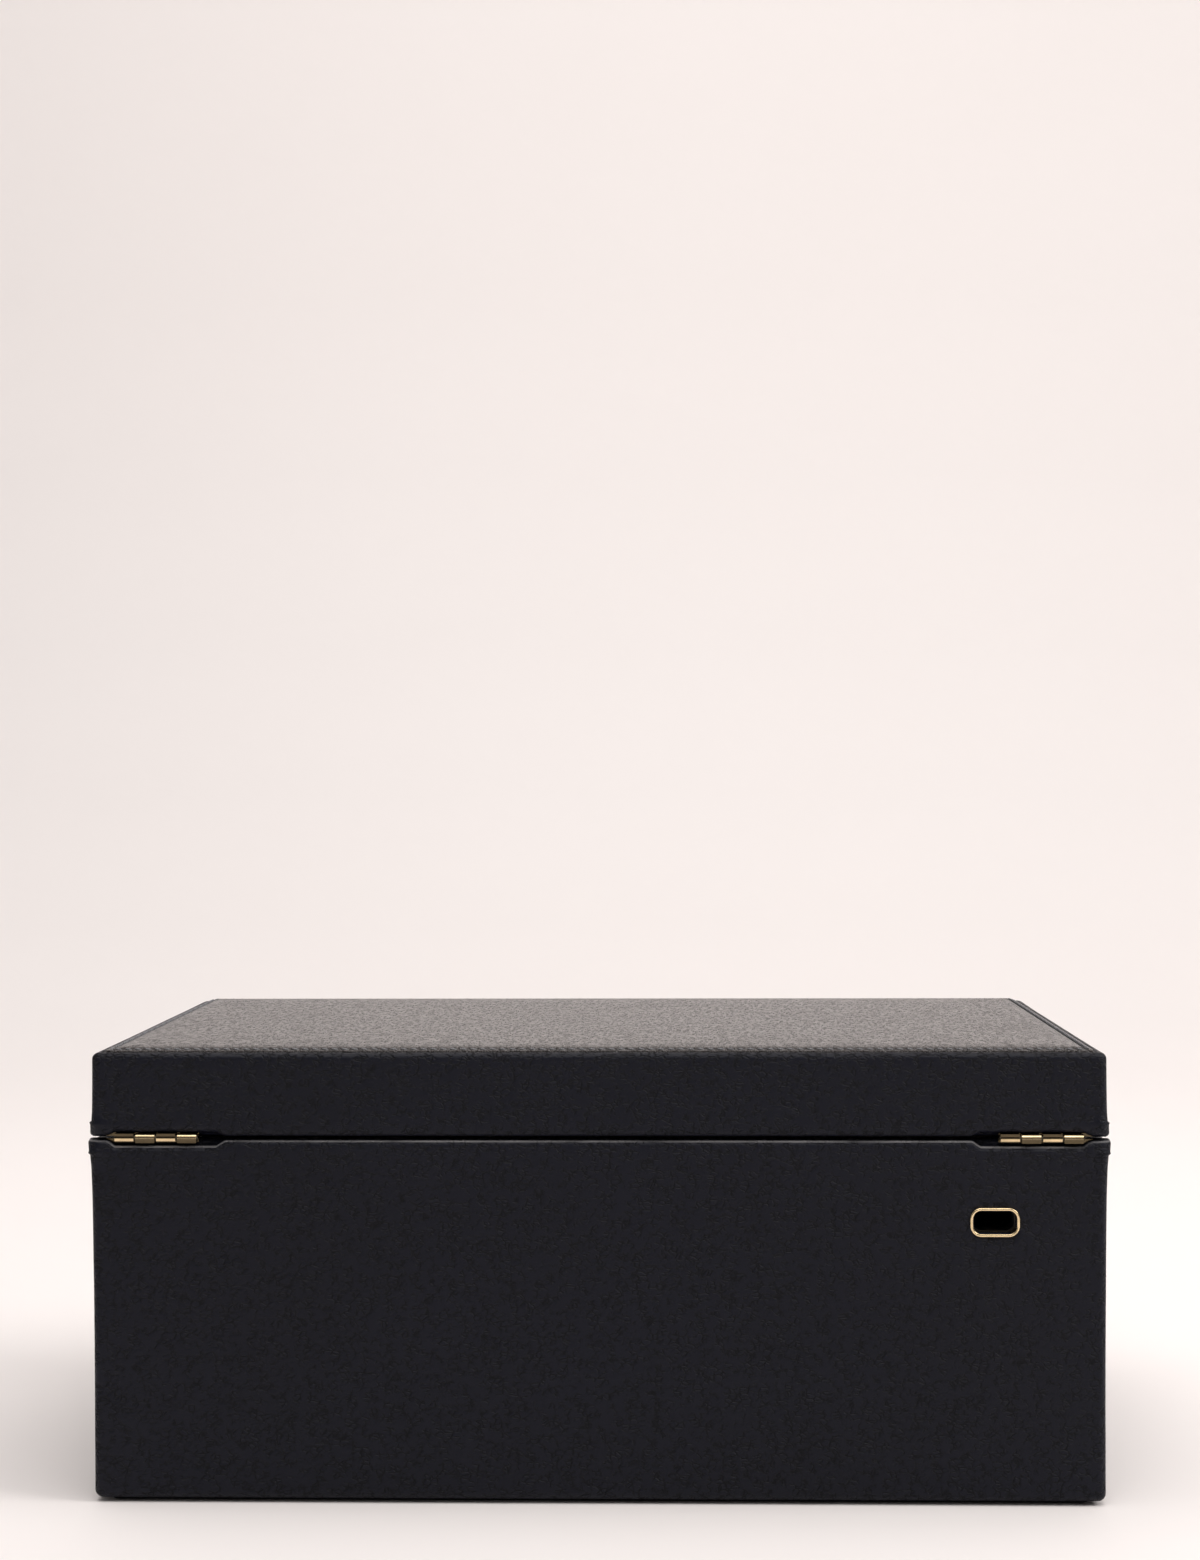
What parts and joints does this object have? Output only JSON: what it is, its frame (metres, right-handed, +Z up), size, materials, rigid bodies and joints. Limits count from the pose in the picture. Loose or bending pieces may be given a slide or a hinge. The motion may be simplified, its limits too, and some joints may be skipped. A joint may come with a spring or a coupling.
{
  "type": "jewellery case",
  "caption": "Leather-covered jewellery case with hinged mirror lid, fitted top compartments, front drawer, lock and rear cable port.",
  "frame": {"origin": "centre of the underside pad, on the surface the case stands on", "axes": "+X to the right of someone facing the front, -Y the front with drawer and lock, +Y the back with hinges and cable port, +Z up"},
  "size_m": [0.305, 0.2148, 0.1378],
  "materials": {
    "case_leather": "blue-black pebble-grain leather, satin",
    "top_panel_leather": "the same leather over a thin pad, stitched round its edge",
    "board": "plain sanded board",
    "suede_lining": "warm grey suede cloth on card",
    "suede_padding": "warm grey suede cloth over foam",
    "underside_felt": "black felt",
    "foam": "thin foam sheet",
    "hinge_brass": "satin pale brass",
    "lock_brass": "polished pale brass",
    "key_brass": "polished pale brass",
    "port_brass": "satin pale brass",
    "port_liner": "black moulded plastic",
    "screw_steel": "plain steel",
    "mirror_glass": "silvered flat glass"
  },
  "bodies": {
    "base": {"base_back_board": "board", "base_floor_board": "board", "base_front_rail": "board", "base_leather": "case_leather", "base_left_board": "board", "base_lining_floor": "suede_lining", "base_lining_walls": "suede_lining", "base_right_board": "board", "base_screws": "hinge_brass", "base_shelf": "board", "base_underside_pad": "underside_felt", "cable_port_bezel": "port_brass", "cable_port_liner": "port_liner", "divider_charging_bay": "suede_lining", "divider_left": "suede_lining", "divider_middle": "suede_lining", "divider_right": "suede_lining", "drawer_bay_liner": "suede_lining", "earring_divider_cross": "suede_lining", "earring_divider_long": "suede_lining", "hinge_leaf_base_left": "hinge_brass", "hinge_leaf_base_right": "hinge_brass", "hinge_pin_left": "hinge_brass", "hinge_pin_right": "hinge_brass", "lock_case": "lock_brass", "lock_escutcheon": "lock_brass", "ring_bed": "suede_padding", "ring_rolls": "suede_padding", "watch_pillow_left": "suede_padding", "watch_pillow_right": "suede_padding"},
    "lid": {"hinge_leaf_lid_left": "hinge_brass", "hinge_leaf_lid_right": "hinge_brass", "lid_back_board": "board", "lid_front_board": "board", "lid_leather": "case_leather", "lid_left_board": "board", "lid_lining_walls": "suede_lining", "lid_mirror": "mirror_glass", "lid_mirror_frame": "suede_lining", "lid_right_board": "board", "lid_screws": "hinge_brass", "lid_top_board": "board", "lid_top_foam": "foam", "lid_top_panel": "top_panel_leather", "lock_strike_plate": "lock_brass"},
    "drawer": {"drawer_back": "board", "drawer_bottom": "board", "drawer_dividers": "suede_lining", "drawer_front_board": "board", "drawer_front_leather": "case_leather", "drawer_knob": "lock_brass", "drawer_knob_screw": "screw_steel", "drawer_left_side": "board", "drawer_lining": "suede_lining", "drawer_right_side": "board"},
    "key": {"key": "key_brass", "lock_plug": "lock_brass"},
    "lock_bolt": {"lock_bolt": "lock_brass"}
  },
  "joints": [
    {"name": "lid_hinge", "type": "hinge", "parent": "base", "child": "lid", "pos_m": [0, 0.0937, 0.1102], "axis": [-1, 0, 0], "range_deg": [0, 95]},
    {"name": "drawer_slide", "type": "slide", "parent": "base", "child": "drawer", "axis": [0, -1, 0], "range_m": [0, 0.125]},
    {"name": "key_turn", "type": "hinge", "parent": "base", "child": "key", "pos_m": [0, -0.095, 0.0956], "axis": [0, 1, 0], "range_deg": [0, 90]},
    {"name": "bolt_slide", "type": "slide", "parent": "base", "child": "lock_bolt", "axis": [1, 0, 0], "range_m": [0, 0.00424]}
  ],
  "couplings": [
    {"joint": "key_turn", "follows": "bolt_slide", "rad_per_m": 370.2}
  ]
}
